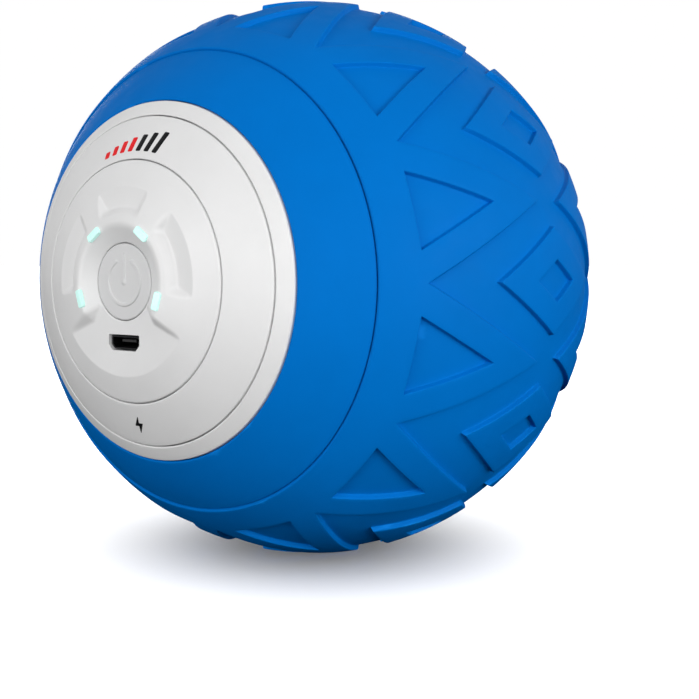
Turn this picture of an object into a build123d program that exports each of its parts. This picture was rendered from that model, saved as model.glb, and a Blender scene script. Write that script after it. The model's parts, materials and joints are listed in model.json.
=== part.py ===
from build123d import *
import os
from math import cos, pi, radians, sin, sqrt

# Vibrating massage ball, in millimetres. The origin is the ball's centre, +Z is up and the control
# cap faces -Y, so the ball's own axis, which is also the motor's, is the Y axis. A "height" is a
# distance from the centre along that axis, positive towards the control cap.

os.makedirs("parts", exist_ok=True)

# ---- driving dimensions -------------------------------------------------------------------------
tread_radius = 60.0             # outside of the raised tread
tread_depth = 1.0               # how deep the grooves go
skin_radius = 59.5              # collars and caps
sleeve_inner_radius = 56.5      # inside of the silicone skins
core_radius = 56.4              # hard shell under the skins
core_wall = 3.0
overlap = 0.5                   # how far a boss or a cut runs past the face it starts from
tread_edge = 40.8               # latitude where the tread band meets a collar
seam_gap = 0.15                 # degrees left between the two
cap_radius = 34.25              # outer edge of the hard cap
cap_gap = 0.15                  # gap between the cap and the collar round it
seat_height = 44.7              # flat seat that the cap is screwed to
gasket_height = 45.3            # top of the gasket

# Tread pattern: angles in degrees round and up the ball, repeated round the equator.
lug_count = 12
lug_pitch = 360 / lug_count
zigzag_valley = 31.9            # latitude where two teeth part
zigzag_tip = 4.04               # latitude of a tooth's tip
triangle_base = 32.84
triangle_apex = 16.37
triangle_half_width = 8.35
triangle_middle = 26.0
diamond_height = 16.7
diamond_half_width = 10.0
pip_height = 6.75
pip_half_width = 3.94

# Control cap: radii of the rings, and the flat that every recess of the panel goes down to.
middle_ring_radius = 31.2
panel_radius = 22.7
ring_gap = 0.15
panel_flat = 56.8               # height of the recess floors and of the button's face
cap_wall = 2.2
flange_inner = 23.5             # outer ring's screwed flange, under the middle ring
flange_top = 47.35
rib_inner = 23.8                # rib that stands the middle ring on the flange
rib_outer = 25.4
skirt_inner = 30.0
skirt_foot = 48.2
ledge_inner = 20.9              # ledge that carries the control panel
ledge_under = 50.6
ledge_top = 52.5
button_radius = 7.15
button_hole_radius = 7.3
button_travel = 0.5
lamp_radius = 10.85             # where the four lamps sit
lamp_angles = (54, 126, 198, 342)
lamp_size = (3.4, 1.4)
socket_drop = 11.35             # charging socket, below the button's centre
socket_opening = (8.2, 3.0)
board_top = 49.6
board_bottom = 48.0
board_radius = 20.5

# Inside the ball.
plate_half = 2.0                # half the chassis plate's thickness
screw_circle = 27.0             # long screws that hold the two core halves together
cap_screw_circle = 27.7
motor_radius = 13.9
motor_half = 19.0
shaft_radius = 2.5
shaft_half = 34.5
running_gap = 0.05
barrel_inner = 16.05
barrel_outer = 18.3
barrel_half = 19.5
ear_radius = 2.6                # ears on the barrel that take the retainers' screws
ear_offset = 20.5
cell_radius = 9.2
holder_radius = 10.8
holder_half = 31.0
cell_half = 32.5
cell_height = 30.0              # distance of each cell from the motor's axis
weight_radius = 15.0
wire_radius = 0.7

turning = Plane(origin=(0, 0, 0), x_dir=(1, 0, 0), z_dir=(0, 0, -1))   # x is radius, y is height


def facing(height):
    """Plane across the ball's axis at a height, x to the right and y up, seen from the cap."""
    return Plane.XZ.offset(height)


def dome(radius, out):
    """Height of a sphere of this radius where it is this far out from the axis."""
    return sqrt(radius**2 - out**2)


def around(radius, angle):
    """Point on a circle round the axis, for a plane from facing()."""
    return (radius * cos(radians(angle)), radius * sin(radians(angle)))


def turned(*corners):
    """Solid turned about the ball's axis from (radius, height) corners."""
    with BuildPart() as shape:
        with BuildSketch(turning):
            Polygon(*corners, align=None)
        revolve(axis=Axis.Y)
    return shape.part


def disc(radius, low, high, centre=(0, 0)):
    """Round solid along the ball's axis between two heights, at (x, z)."""
    with BuildPart() as shape:
        with BuildSketch(facing(low)):
            with Locations(centre):
                Circle(radius)
        extrude(amount=high - low)
    return shape.part


def discs(radius, low, high, centres):
    return [disc(radius, low, high, centre) for centre in centres]


def block(width, tall, low, high, centre=(0, 0), turn=0):
    """Rectangular solid along the ball's axis between two heights, at (x, z)."""
    with BuildPart() as shape:
        with BuildSketch(facing(low)):
            with Locations(centre):
                Rectangle(width, tall, rotation=turn)
        extrude(amount=high - low)
    return shape.part


def save(piece, name):
    piece.label = name
    export_step(piece, f"parts/{name}.step")


def save_both(piece, name):
    """A piece that the ball has at the cap end and, mirrored, at the other end."""
    save(piece, f"front_{name}")
    save(mirror(piece, about=Plane.XZ), f"rear_{name}")


def save_screws(name, spots, head_radius, shank_radius, tip, seat, top):
    """Cross-head screws at both ends of the ball, driven towards its middle."""
    slot_length, slot_width, slot_depth = 2.6, 0.6, 0.7
    slot_floor = top - slot_depth
    with BuildPart() as screws:
        add(discs(head_radius, seat, top, spots))
        add(discs(shank_radius, tip, seat, spots))
        for spot in spots:
            add(block(slot_length, slot_width, slot_floor, top + overlap, spot), mode=Mode.SUBTRACT)
            add(block(slot_width, slot_length, slot_floor, top + overlap, spot), mode=Mode.SUBTRACT)
        mirror(about=Plane.XZ)
    save(screws.part, name)


# ---- tread sleeve -------------------------------------------------------------------------------
def towards(around_angle, up_angle):
    """Unit vector to a point of the tread; up_angle is positive away from the cap."""
    turn, rise = radians(around_angle), radians(up_angle)
    return Vector(cos(rise) * cos(turn), sin(rise), cos(rise) * sin(turn))


def tread_tool(turn, rise, corners, apex):
    """Straight-sided tool, square to the surface at (turn, rise), through corner directions on it.

    Its faces meet at a point that is `apex` from the ball's centre, which sets the walls' draft.
    """
    across = Vector(-sin(radians(turn)), 0, cos(radians(turn)))
    plane = Plane(origin=(0, 0, 0), x_dir=across, z_dir=towards(turn, rise))
    seen = [plane.to_local_coords(towards(*corner) * tread_radius) for corner in corners]
    below, above = 0.8, 1.06        # the tool's ends, as shares of the tread's radius
    with BuildPart() as tool:
        for level in (tread_radius * below, tread_radius * above):
            with BuildSketch(plane.offset(level)):
                grown = [(p.X * (level - apex) / (p.Z - apex), p.Y * (level - apex) / (p.Z - apex))
                         for p in seen]
                Polygon(*grown, align=None)
        loft(ruled=True)
    return tool.part


def diamond(height, half_width):
    return [(0, height), (half_width, 0), (0, -height), (-half_width, 0)]


def tread_grooves():
    """One repeat of the tread's grooves: channel, central diamond's pip and two triangles."""
    half = lug_pitch / 2
    channel_apex, diamond_apex, pip_apex, triangle_tool_apex = 14, -30, 52, 50
    channel = [(0, zigzag_valley), (half, zigzag_tip), (half, -zigzag_tip),
               (0, -zigzag_valley), (-half, -zigzag_tip), (-half, zigzag_tip)]
    with BuildPart() as grooves:
        add(tread_tool(0, 0, channel, channel_apex))
        add(tread_tool(0, 0, diamond(diamond_height, diamond_half_width), diamond_apex),
            mode=Mode.SUBTRACT)
        add(tread_tool(0, 0, diamond(pip_height, pip_half_width), pip_apex))
        for side in (1, -1):
            triangle = [(half, side * triangle_apex),
                        (half + triangle_half_width, side * triangle_base),
                        (half - triangle_half_width, side * triangle_base)]
            add(tread_tool(half, side * triangle_middle, triangle, triangle_tool_apex))
        Sphere(tread_radius - tread_depth, mode=Mode.SUBTRACT)
    return grooves.part


def make_tread_sleeve():
    grooves = tread_grooves()
    with BuildPart() as tread_sleeve:
        with BuildSketch(turning):
            with BuildLine():
                outside = CenterArc((0, 0), tread_radius, -tread_edge, 2 * tread_edge)
                inside = CenterArc((0, 0), sleeve_inner_radius, -tread_edge, 2 * tread_edge)
                Line(inside @ 0, outside @ 0)
                Line(inside @ 1, outside @ 1)
            make_face()
        revolve(axis=Axis.Y)
        add([grooves.rotate(Axis.Y, i * lug_pitch) for i in range(lug_count)], mode=Mode.SUBTRACT)
    save(tread_sleeve.part, "tread_sleeve")


def make_collars():
    """Smooth skin between the tread and the cap, at each end of the ball."""
    edge_radius = cap_radius + cap_gap
    seam = radians(tread_edge + seam_gap)
    with BuildPart() as collar:
        with BuildSketch(turning):
            with BuildLine():
                seam_out = (skin_radius * cos(seam), skin_radius * sin(seam))
                seam_in = (sleeve_inner_radius * cos(seam), sleeve_inner_radius * sin(seam))
                edge_out = (edge_radius, dome(skin_radius, edge_radius))
                edge_in = (edge_radius, dome(sleeve_inner_radius, edge_radius))
                RadiusArc(edge_out, seam_out, skin_radius)
                RadiusArc(edge_in, seam_in, sleeve_inner_radius)
                Line(seam_in, seam_out)
                Line(edge_in, edge_out)
            make_face()
        revolve(axis=Axis.Y)
    save_both(collar.part, "collar")


# ---- core shells and chassis --------------------------------------------------------------------
corner_angles = (45, 135, 225, 315)
cap_opening = 20.0              # hole in the front seat, for the leads and the cap's parts
screw_clearance = 1.7
long_screws = [around(screw_circle, angle) for angle in corner_angles]
cap_screws = [around(cap_screw_circle, angle - 22.5) for angle in corner_angles]


def half_shell(opening):
    """Half of the hard core: a thick half sphere with a flat seat, bosses for the cap's screws."""
    inner = core_radius - core_wall
    seat_under = seat_height - core_wall
    boss_radius, boss_foot = 3.0, 37.5
    pilot_radius, pilot_foot = 1.25, 38.5
    with BuildPart() as shell:
        with BuildSketch(turning):
            with BuildLine():
                RadiusArc((core_radius, 0), (dome(core_radius, seat_height), seat_height), -core_radius)
                Polyline((dome(core_radius, seat_height), seat_height), (opening, seat_height),
                         (opening, seat_under), (dome(inner, seat_under), seat_under))
                RadiusArc((dome(inner, seat_under), seat_under), (inner, 0), inner)
                Line((inner, 0), (core_radius, 0))
            make_face()
        revolve(axis=Axis.Y)
        add(discs(boss_radius, boss_foot, seat_under + overlap, cap_screws))
        add(discs(pilot_radius, pilot_foot, seat_height, cap_screws), mode=Mode.SUBTRACT)
    return shell.part


def make_core_shells():
    """The halves meet at the equator with a stepped lip, and clamp the chassis plate between bosses."""
    inner = core_radius - core_wall
    lip_radius = core_radius - core_wall / 2
    lip_depth, lip_gap = 2.5, 0.1
    boss_radius = 4.0
    head_hole, shank_hole, pilot_hole = 2.9, screw_clearance, 1.55
    head_radius, head_seat, head_height = 2.6, 6.0, 2.4
    shank_radius, shank_tip, pilot_foot = 1.5, -10.0, -14.0
    key_radius, key_depth = 1.3, 1.4
    front_bosses = seat_height - overlap
    with BuildPart() as front_core_shell:
        add(half_shell(cap_opening))
        add(discs(boss_radius, plate_half, front_bosses, long_screws))
        add(discs(head_hole, head_seat, seat_height, long_screws), mode=Mode.SUBTRACT)
        add(discs(shank_hole, plate_half, head_seat, long_screws), mode=Mode.SUBTRACT)
        add(turned((inner, -overlap), (lip_radius, -overlap), (lip_radius, lip_depth), (inner, lip_depth)),
            mode=Mode.SUBTRACT)
    save(front_core_shell.part, "front_core_shell")

    lip_top = lip_depth - lip_gap
    with BuildPart() as rear_core_shell:
        add(mirror(half_shell(0), about=Plane.XZ))
        add(turned((inner, -overlap), (lip_radius - lip_gap, -overlap), (lip_radius - lip_gap, lip_top),
                   (inner, lip_top)))
        add(discs(boss_radius, -front_bosses, -plate_half, long_screws))
        add(discs(pilot_hole, pilot_foot, -plate_half, long_screws), mode=Mode.SUBTRACT)
    save(rear_core_shell.part, "rear_core_shell")

    with BuildPart() as core_screws:
        add(discs(head_radius, head_seat, head_seat + head_height, long_screws))
        add(discs(shank_radius, shank_tip, head_seat, long_screws))
        for spot in long_screws:
            with BuildSketch(facing(head_seat + head_height)):
                with Locations(spot):
                    RegularPolygon(key_radius, 6)
            extrude(amount=-key_depth, mode=Mode.SUBTRACT)
    save(core_screws.part, "core_screws")


ear_spots = [(ear_offset, 0), (-ear_offset, 0)]


def make_chassis():
    """Plate across the middle of the ball with the motor's barrel and a hole for each cell holder."""
    rim_gap, cell_gap = 0.3, 0.1
    lead_hole, lead_hole_offset = 5.0, 37.0
    ear_pilot = 0.9
    through = plate_half + overlap
    cells = [(0, cell_height), (0, -cell_height)]
    with BuildPart() as chassis_plate:
        add(disc(core_radius - core_wall - rim_gap, -plate_half, plate_half))
        add(disc(barrel_outer, -barrel_half, barrel_half))
        add(discs(ear_radius, -barrel_half, barrel_half, ear_spots))
        add(disc(barrel_inner, -barrel_half - overlap, barrel_half + overlap), mode=Mode.SUBTRACT)
        add(discs(holder_radius + cell_gap, -through, through, cells), mode=Mode.SUBTRACT)
        add(discs(screw_clearance, -through, through, long_screws), mode=Mode.SUBTRACT)
        add(discs(ear_pilot, -barrel_half - overlap, barrel_half + overlap, ear_spots), mode=Mode.SUBTRACT)
        add(discs(lead_hole, -through, through, [(lead_hole_offset, 0), (-lead_hole_offset, 0)]),
            mode=Mode.SUBTRACT)
    save(chassis_plate.part, "chassis_plate")


# ---- motor --------------------------------------------------------------------------------------
def make_motor_mount():
    """Rubber sleeves that hold the motor in its barrel, and the plates that keep it in."""
    squeeze, damper_low, damper_high = 0.05, 9.0, 17.0
    with BuildPart() as damper:
        add(turned((motor_radius + squeeze, damper_low), (barrel_inner - squeeze, damper_low),
                   (barrel_inner - squeeze, damper_high), (motor_radius + squeeze, damper_high)))
    save_both(damper.part, "motor_damper")

    plate_top = barrel_half + 2.5
    middle_hole, screw_hole = 9.5, 1.1
    with BuildPart() as retainer:
        add(disc(barrel_outer, barrel_half, plate_top))
        add(discs(ear_radius, barrel_half, plate_top, ear_spots))
        add(disc(middle_hole, barrel_half - overlap, plate_top + overlap), mode=Mode.SUBTRACT)
        add(discs(screw_hole, barrel_half - overlap, plate_top + overlap, ear_spots), mode=Mode.SUBTRACT)
    save_both(retainer.part, "motor_retainer")

    head_radius, head_height, shank_radius, tip = 1.9, 1.4, 0.85, 12.0
    save_screws("retainer_screws", ear_spots, head_radius, shank_radius, tip, plate_top,
                plate_top + head_height)


can_wall = 1.0
can_top = 16.5                  # open end of the can, closed by the end bell
bush_radius = 4.5
brush_height = 13.5             # middle of the commutator
brush_size = (4.2, 2.0)         # length, and thickness both ways
brush_offset = 7.4
commutator_radius = 5.0
magnet_low, magnet_high = -12.0, 11.0
terminal_low, terminal_top = 16.2, 20.6
terminal_radius = 0.8
terminals = [(8, 0), (-8, 0)]


def make_motor():
    can_inner = motor_radius - can_wall
    with BuildPart() as motor_can:
        add(turned((can_inner, can_top), (motor_radius, can_top), (motor_radius, -motor_half),
                   (bush_radius, -motor_half), (bush_radius, can_wall - motor_half),
                   (can_inner, can_wall - motor_half)))
    save(motor_can.part, "motor_can")

    spigot, spigot_inner, spigot_low, web_low = can_inner - 0.05, 11.9, 15.0, 16.9
    box_width, box_tall, box_low, box_offset = 3.0, 4.4, 12.0, 8.4
    slide = 0.05                    # gap round each brush in its box
    brush_length, brush_thick = brush_size
    brush_low, brush_high = brush_height - brush_thick / 2, brush_height + brush_thick / 2
    with BuildPart() as motor_end_bell:
        add(turned((motor_radius, can_top), (motor_radius, motor_half), (bush_radius, motor_half),
                   (bush_radius, web_low), (spigot_inner, web_low), (spigot_inner, spigot_low),
                   (spigot, spigot_low), (spigot, can_top)))
        for side in (1, -1):
            add(block(box_width, box_tall, box_low, web_low + overlap, (side * box_offset, 0)))
            add(block(brush_length + 1, brush_thick + slide, brush_low - slide, brush_high + slide,
                      (side * brush_offset, 0)), mode=Mode.SUBTRACT)
        add(discs(terminal_radius + slide, terminal_low - slide, motor_half + overlap, terminals),
            mode=Mode.SUBTRACT)
    save(motor_end_bell.part, "motor_end_bell")

    bush_inner, bush_proud = shaft_radius + running_gap, 1.0
    with BuildPart() as motor_bushes:
        for end, depth in ((motor_half, 2.1), (-motor_half, 1.5)):
            outward = 1 if end > 0 else -1
            first, last = end + outward * bush_proud, end - outward * depth
            add(turned((bush_inner, first), (bush_radius, first), (bush_radius, last), (bush_inner, last)))
    save(motor_bushes.part, "motor_bushes")

    magnet_inner, magnet_gap = 11.3, 7.0
    with BuildPart() as motor_magnets:
        add(turned((magnet_inner, magnet_low), (can_inner, magnet_low), (can_inner, magnet_high),
                   (magnet_inner, magnet_high)))
        add(block(magnet_gap, 2 * motor_radius, magnet_low - overlap, magnet_high + overlap),
            mode=Mode.SUBTRACT)
    save(motor_magnets.part, "motor_magnets")

    brush_face = commutator_radius + 0.3
    with BuildPart() as motor_brushes:
        for side in (1, -1):
            add(block(brush_length, brush_thick, brush_low, brush_high, (side * brush_offset, 0)))
        add(disc(brush_face, brush_low - overlap, brush_high + overlap), mode=Mode.SUBTRACT)
    save(motor_brushes.part, "motor_brushes")

    with BuildPart() as motor_terminals:
        add(discs(terminal_radius, terminal_low, terminal_top, terminals))
    save(motor_terminals.part, "motor_terminals")


def make_rotor():
    with BuildPart() as motor_shaft:
        with BuildSketch(facing(-shaft_half)):
            Circle(shaft_radius)
        extrude(amount=2 * shaft_half)
        chamfer(motor_shaft.edges().filter_by(GeomType.CIRCLE), 0.4)
    save(motor_shaft.part, "motor_shaft")

    poles = 3
    stack_radius, stack_low, stack_high = 10.9, -9.0, 8.0
    slot_radius, slot_circle, slot_mouth = 2.2, 7.4, 1.4
    with BuildPart() as motor_armature:
        add(disc(stack_radius, stack_low, stack_high))
        with BuildSketch(facing(stack_low)):
            with PolarLocations(slot_circle, poles, start_angle=30):
                Circle(slot_radius)
            with PolarLocations(slot_circle + 2.8, poles, start_angle=30):
                Rectangle(2 * slot_radius, slot_mouth)
        extrude(amount=stack_high - stack_low, mode=Mode.SUBTRACT)
        add(disc(shaft_radius, stack_low - overlap, stack_high + overlap), mode=Mode.SUBTRACT)
    save(motor_armature.part, "motor_armature")

    coil_inner, coil_outer, coil_bulge, coil_height = 4.4, 9.0, 9.6, 3.5
    with BuildPart() as motor_winding:
        for low in (stack_low - coil_height, stack_high):
            high = low + coil_height
            add(turned((coil_inner, low), (coil_outer, low), (coil_bulge, (low + high) / 2),
                       (coil_outer, high), (coil_inner, high)))
        with BuildSketch(facing(stack_low)):
            with PolarLocations(slot_circle, poles, start_angle=30):
                Circle(slot_radius - 0.2)
        extrude(amount=stack_high - stack_low)
    save(motor_winding.part, "motor_winding")

    low, high = brush_height - 1.6, brush_height + 1.6
    with BuildPart() as motor_commutator:
        add(disc(commutator_radius, low, high))
        with BuildSketch(facing(low)):
            with PolarLocations(commutator_radius - 0.4, poles, start_angle=90):
                Rectangle(1.6, 0.5)
        extrude(amount=high - low, mode=Mode.SUBTRACT)
        add(disc(shaft_radius, low - overlap, high + overlap), mode=Mode.SUBTRACT)
    save(motor_commutator.part, "motor_commutator")


def make_weights():
    """Half-round weights, both hanging the same way, that make the ball shake as the shaft turns."""
    low, high = 25.5, shaft_half - overlap
    middle = (low + high) / 2
    hub_radius = 5.5
    thread_radius, screw_radius, screw_length, key_radius = 1.25, 1.2, 2.9, 0.6
    with BuildPart() as weight:
        with BuildSketch(facing(low)):
            Circle(weight_radius)
            with Locations((0, weight_radius)):
                Rectangle(2 * weight_radius, 2 * weight_radius, mode=Mode.SUBTRACT)
            Circle(hub_radius)
            Circle(shaft_radius, mode=Mode.SUBTRACT)
        extrude(amount=high - low)
        with BuildSketch(Plane.XY.offset(hub_radius)):
            with Locations((0, -middle)):
                Circle(thread_radius)
        extrude(amount=-(hub_radius - shaft_radius), mode=Mode.SUBTRACT)
    save_both(weight.part, "eccentric_weight")

    with BuildPart() as weight_set_screws:
        for height in (middle, -middle):
            with BuildSketch(Plane.XY.offset(hub_radius)):
                with Locations((0, -height)):
                    Circle(screw_radius)
                    RegularPolygon(key_radius, 6, mode=Mode.SUBTRACT)
            extrude(amount=-screw_length)
    save(weight_set_screws.part, "weight_set_screws")


# ---- battery ------------------------------------------------------------------------------------
tab_thickness = 0.3
terminal_foot = 45.4            # where the leads meet the board's terminals


def make_battery():
    """Two round cells, each in a tube through the chassis plate, with tabs welded to their ends."""
    button_radius_on_cell, button_height = 3.2, 1.0
    slide, notch_width, notch_tall, notch_low = 0.1, 6.0, 8.0, 20.0
    for name, up in (("upper", 1), ("lower", -1)):
        spot = (0, up * cell_height)
        with BuildPart() as cell:
            add(disc(cell_radius, -cell_half, cell_half - button_height, spot))
            fillet(cell.edges().filter_by(GeomType.CIRCLE), 0.5)
            add(disc(button_radius_on_cell, cell_half - button_height - overlap, cell_half, spot))
        save(cell.part, f"battery_cell_{name}")

        notch = (0, up * (cell_height + holder_radius))
        with BuildPart() as holder:
            add(disc(holder_radius, -holder_half, holder_half, spot))
            add(disc(cell_radius + slide, -holder_half - overlap, holder_half + overlap, spot),
                mode=Mode.SUBTRACT)
            for low, high in ((-cell_half, -notch_low), (notch_low, cell_half)):
                add(block(notch_width, notch_tall, low, high, notch), mode=Mode.SUBTRACT)
        save(holder.part, f"cell_holder_{name}")

    tab_width, tab_tall = 5.0, 7.0
    tab_end = cell_half + tab_thickness
    with BuildPart() as cell_tabs:
        for up in (1, -1):
            for low, high in ((cell_half, tab_end), (-tab_end, -cell_half)):
                add(block(tab_width, tab_tall, low, high, (0, up * cell_height)))
    save(cell_tabs.part, "cell_tabs")


def wire(name, corners, radii):
    """Insulated lead along straight runs joined by arcs; corners are (x, z, height)."""
    points = [(x, -height, z) for x, z, height in corners]
    route = FilletPolyline(*points, radius=radii)
    with BuildPart() as lead:
        with BuildLine():
            add(route)
        with BuildSketch(Plane(origin=route @ 0, z_dir=route % 0)):
            Circle(wire_radius)
        sweep()
    straight = pi * wire_radius**2 * route.length
    print(f"{name}: {route.length:.1f} mm long, bend radii {radii},",
          f"volume {lead.part.volume:.1f}, section x length {straight:.1f}")
    save(lead.part, name)


terminal_spots = [(1.5, 13.5), (-1.5, -13.5), (12.5, 0), (-12.5, 0)]


def make_wiring():
    """Leads from the cells and the motor to the board, and the link that joins the cells."""
    tab_end = cell_half + tab_thickness
    for name, side in (("red", 1), ("black", -1)):
        wire(f"battery_lead_{name}",
             [(0, side * cell_height, tab_end), (0, side * cell_height, 38.5),
              (side * 1.5, side * 13.5, 38.5), (side * 1.5, side * 13.5, terminal_foot)],
             [4.5, 4.5])
        wire(f"motor_lead_{name}",
             [(side * 8, 0, terminal_top), (side * 8, 0, 23.7), (side * 18, 0, 23.7),
              (side * 18, 0, 38.5), (side * 12.5, 0, 42.0), (side * 12.5, 0, terminal_foot)],
             [1.6, 4.5, 4.0, 2.5])
    wire("cell_link_wire", [(0, cell_height, -tab_end), (0, cell_height, -39.0),
                            (0, -cell_height, -39.0), (0, -cell_height, -tab_end)], [5.0, 5.0])


# ---- caps ---------------------------------------------------------------------------------------
def cap_profile_top(outer, inner):
    """Arc of the cap's dome between two radii."""
    return RadiusArc((outer, dome(skin_radius, outer)), (inner, dome(skin_radius, inner)), -skin_radius)


def make_bezel_ring():
    """Outer ring of the cap, screwed through its hidden flange, and the gasket under it."""
    hole_edge = middle_ring_radius + ring_gap
    screw_hole = 1.4
    with BuildPart() as bezel_ring:
        with BuildSketch(turning):
            with BuildLine():
                cap_profile_top(cap_radius, hole_edge)
                Polyline((hole_edge, dome(skin_radius, hole_edge)), (hole_edge, flange_top),
                         (flange_inner, flange_top), (flange_inner, gasket_height),
                         (cap_radius, gasket_height), (cap_radius, dome(skin_radius, cap_radius)))
            make_face()
        revolve(axis=Axis.Y)
        add(discs(screw_hole, gasket_height - overlap, flange_top + overlap, cap_screws),
            mode=Mode.SUBTRACT)
    save_both(bezel_ring.part, "bezel_ring")

    gasket_inner, gasket_outer = 31.4, cap_radius - 0.05
    with BuildPart() as gasket:
        add(turned((gasket_inner, seat_height), (gasket_outer, seat_height),
                   (gasket_outer, gasket_height), (gasket_inner, gasket_height)))
    save_both(gasket.part, "gasket")

    head_radius, head_height, shank_radius, tip = 2.1, 1.25, 1.2, 39.0
    save_screws("cap_screws", cap_screws, head_radius, shank_radius, tip, flange_top,
                flange_top + head_height)


def make_trim_ring():
    """Middle ring of the cap. It hides the screws, and its ledge carries the control panel."""
    wall = panel_radius + ring_gap
    under = skin_radius - cap_wall
    rib_top, skirt_top = dome(under, rib_outer), dome(under, skirt_inner)
    with BuildPart() as front_trim_ring:
        with BuildSketch(turning):
            with BuildLine():
                cap_profile_top(middle_ring_radius, wall)
                Polyline((wall, dome(skin_radius, wall)), (wall, ledge_top), (ledge_inner, ledge_top),
                         (ledge_inner, ledge_under), (rib_inner, ledge_under), (rib_inner, flange_top),
                         (rib_outer, flange_top), (rib_outer, rib_top))
                RadiusArc((rib_outer, rib_top), (skirt_inner, skirt_top), under)
                Polyline((skirt_inner, skirt_top), (skirt_inner, skirt_foot),
                         (middle_ring_radius, skirt_foot),
                         (middle_ring_radius, dome(skin_radius, middle_ring_radius)))
            make_face()
        revolve(axis=Axis.Y)
    save(front_trim_ring.part, "front_trim_ring")


def make_rear_cap():
    """Plain dome that closes the end away from the controls."""
    rim = middle_ring_radius
    under = skin_radius - cap_wall
    rib_top, skirt_top = dome(under, rib_outer), dome(under, skirt_inner)
    with BuildPart() as rear_cap:
        with BuildSketch(turning):
            with BuildLine():
                RadiusArc((0, skin_radius), (rim, dome(skin_radius, rim)), skin_radius)
                Polyline((rim, dome(skin_radius, rim)), (rim, skirt_foot), (skirt_inner, skirt_foot),
                         (skirt_inner, skirt_top))
                RadiusArc((skirt_inner, skirt_top), (rib_outer, rib_top), -under)
                Polyline((rib_outer, rib_top), (rib_outer, flange_top), (rib_inner, flange_top),
                         (rib_inner, dome(under, rib_inner)))
                RadiusArc((rib_inner, dome(under, rib_inner)), (0, under), -under)
                Line((0, under), (0, skin_radius))
            make_face()
        revolve(axis=Axis.Y)
    save(mirror(rear_cap.part, about=Plane.XZ), "rear_cap")


# ---- control panel and what is under it ---------------------------------------------------------
panel_under = 54.8              # underside of the panel
post_circle = 17.2
panel_posts = [around(post_circle, angle) for angle in (90, 212, 328)]
lamp_proud = skin_radius + 0.3  # sphere that the lamps' faces follow, just proud of the panel
lamp_gap = 0.1
switch_top = 52.9
socket_spot = (0, -socket_drop)
lamp_spots = [(around(lamp_radius, angle), angle + 90) for angle in lamp_angles]


def ring_sector(inner, outer, middle_angle, half_angle):
    """Part of a ring between two radii, as a face to add to a sketch."""
    with BuildSketch() as sector:
        with BuildLine():
            first = middle_angle - half_angle
            inside = CenterArc((0, 0), inner, first, 2 * half_angle)
            outside = CenterArc((0, 0), outer, first, 2 * half_angle)
            Line(inside @ 0, outside @ 0)
            Line(inside @ 1, outside @ 1)
        make_face()
    return sector.sketch


def socket_outline(width, tall):
    """Corners of the charging socket's outline: straight top, lower corners cut off."""
    cut = 0.35 * tall
    x, z = width / 2, tall / 2
    return [(-x, z), (x, z), (x, cut - z), (x - cut, -z), (cut - x, -z), (-x, cut - z)]


def make_control_panel():
    """Domed panel with a bowl round the button, three lobed hollows and a pocket for the socket."""
    rim_inner = 20.2
    bowl_floor, bowl_rise = 7.45, 0.62
    recess_taper = -42
    lobes = ((19, 25), (90, 19.5), (161, 25))       # middle and half width, in degrees
    lobe_inner, lobe_outer = 14.0, 19.0
    pocket_half, pocket_inner, pocket_outer = 53, 7.5, 21.0
    post_radius, pilot_radius = 2.2, 0.8
    over = tread_radius
    with BuildPart() as control_panel:
        with BuildSketch(turning):
            with BuildLine():
                cap_profile_top(panel_radius, button_hole_radius)
                Polyline((button_hole_radius, dome(skin_radius, button_hole_radius)),
                         (button_hole_radius, panel_under), (rim_inner, panel_under),
                         (rim_inner, ledge_top), (panel_radius, ledge_top),
                         (panel_radius, dome(skin_radius, panel_radius)))
            make_face()
        revolve(axis=Axis.Y)
        bowl_out = bowl_floor + (over - panel_flat) / bowl_rise
        add(turned((0, panel_flat), (bowl_floor, panel_flat), (bowl_out, over), (0, over)),
            mode=Mode.SUBTRACT)
        with BuildSketch(facing(panel_flat)):
            for angle, half in lobes:
                add(ring_sector(lobe_inner, lobe_outer, angle, half))
        extrude(amount=over - panel_flat, taper=recess_taper, mode=Mode.SUBTRACT)
        with BuildSketch(facing(panel_flat)):
            add(ring_sector(pocket_inner, pocket_outer, 270, pocket_half))
        extrude(amount=over - panel_flat, taper=recess_taper, mode=Mode.SUBTRACT)
        add(discs(post_radius, board_top, panel_under, panel_posts))
        add(discs(pilot_radius, board_top, panel_under - 1, panel_posts), mode=Mode.SUBTRACT)
        for spot, turn in lamp_spots:
            length, width = lamp_size
            add(block(length + lamp_gap, width + lamp_gap, panel_under - overlap, over, spot, turn),
                mode=Mode.SUBTRACT)
        with BuildSketch(facing(panel_under - overlap)):
            with Locations(socket_spot):
                Polygon(*socket_outline(*socket_opening), align=None)
        extrude(amount=over - panel_under, mode=Mode.SUBTRACT)
    save(control_panel.part, "control_panel")


def make_power_button():
    """Flush round button with a raised on-off sign, a flange that keeps it in and a stem."""
    face_edge = 0.3
    face_thickness = 2.2
    sign_radius, sign_line, sign_gap, sign_height = 4.25, 0.65, 28, 0.2
    bar_middle, bar_length = 2.5, 5.6
    flange_radius, flange_low = 8.6, 53.4
    stem_radius, stem_gap = 2.0, 0.05
    with BuildPart() as power_button:
        with BuildSketch(facing(panel_flat - face_thickness)):
            Circle(button_radius)
        extrude(amount=face_thickness)
        chamfer(power_button.edges().group_by(Axis.Y)[0], face_edge)
        with BuildSketch(facing(panel_flat)):
            add(ring_sector(sign_radius - sign_line / 2, sign_radius + sign_line / 2,
                            270, 180 - sign_gap))
            with Locations((0, bar_middle)):
                SlotOverall(bar_length, sign_line, rotation=90)
        extrude(amount=sign_height)
        add(disc(flange_radius, flange_low, panel_flat - face_thickness))
        add(disc(stem_radius, switch_top + stem_gap, flange_low))
    save(power_button.part, "power_button")


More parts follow.
